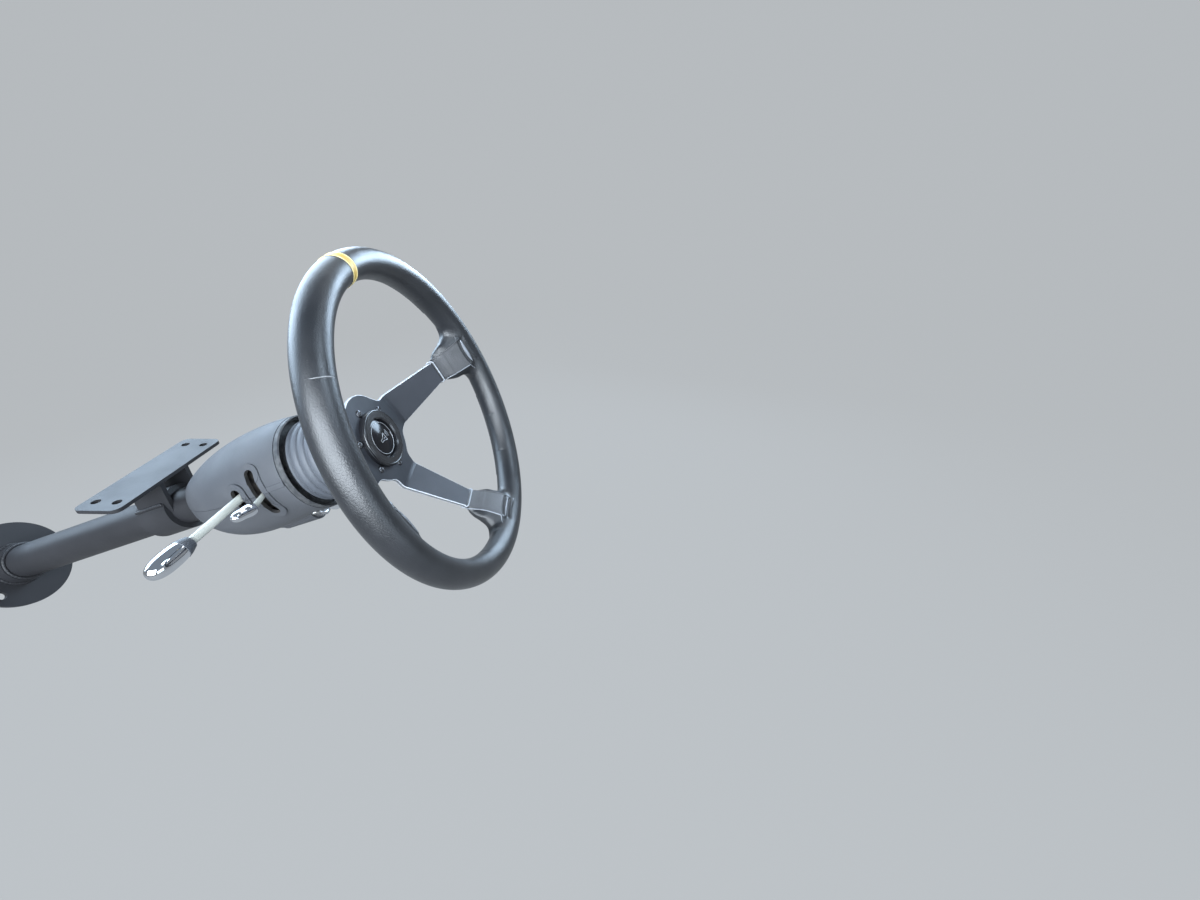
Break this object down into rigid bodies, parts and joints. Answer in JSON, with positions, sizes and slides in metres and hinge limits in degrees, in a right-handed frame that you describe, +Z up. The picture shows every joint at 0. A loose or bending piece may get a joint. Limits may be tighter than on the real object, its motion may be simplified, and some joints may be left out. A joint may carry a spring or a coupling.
{
  "type": "sports coupe steering wheel and column",
  "caption": "Dished leather steering wheel on a raked column, with ribbed boss cover, moulded column cover, stalks and bolt-up brackets.",
  "frame": {"origin": "middle of the upper bracket's top face, where the column bolts up under the dash", "axes": "+X to the driver's right, +Y to the front of the car, +Z up; the column falls 20.2 degrees towards the front"},
  "size_m": [0.35, 0.7307, 0.4283],
  "materials": {
    "spoke_metal": "satin black anodised",
    "rim_leather": "smooth black leather, worn to a sheen",
    "mark_leather": "yellow leather",
    "horn_plastic": "black, moulded",
    "button_gloss": "gloss black",
    "boss_metal": "black, machined",
    "boss_rubber": "grey-black, ribbed",
    "shaft_steel": "turned",
    "tube_paint": "black paint",
    "bush_brass": "machined",
    "cover_plastic": "fine grained, grey-black",
    "stalk_plastic": "pale grey",
    "tip_chrome": "bright",
    "switch_plastic": "black",
    "lock_metal": "die cast",
    "bracket_paint": "black paint"
  },
  "bodies": {
    "column": {"column_tube": "tube_paint", "upper_bush": "bush_brass", "lower_bush": "bush_brass", "cover_upper": "cover_plastic", "cover_lower": "cover_plastic", "cover_ring": "cover_plastic", "stalk_long_rod": "stalk_plastic", "stalk_long_tip": "tip_chrome", "stalk_short_rod": "stalk_plastic", "stalk_short_tip": "tip_chrome", "switch_block": "switch_plastic", "ignition_lock": "lock_metal", "ignition_key": "tip_chrome", "lower_flange": "bracket_paint", "upper_bracket": "bracket_paint"},
    "wheel": {"spoke_sheet": "spoke_metal", "leather_rim": "rim_leather", "rim_mark": "mark_leather", "horn_ring": "horn_plastic", "horn_button": "button_gloss", "hub_boss": "boss_metal", "boss_cover": "boss_rubber", "boss_collar": "horn_plastic", "steering_shaft": "shaft_steel"}
  },
  "joints": [
    {"name": "steering", "type": "hinge", "parent": "column", "child": "wheel", "pos_m": [0, -0.33035, 0.06754], "axis": [0, -0.9385, 0.3453], "range_deg": [-551, 529]}
  ]
}
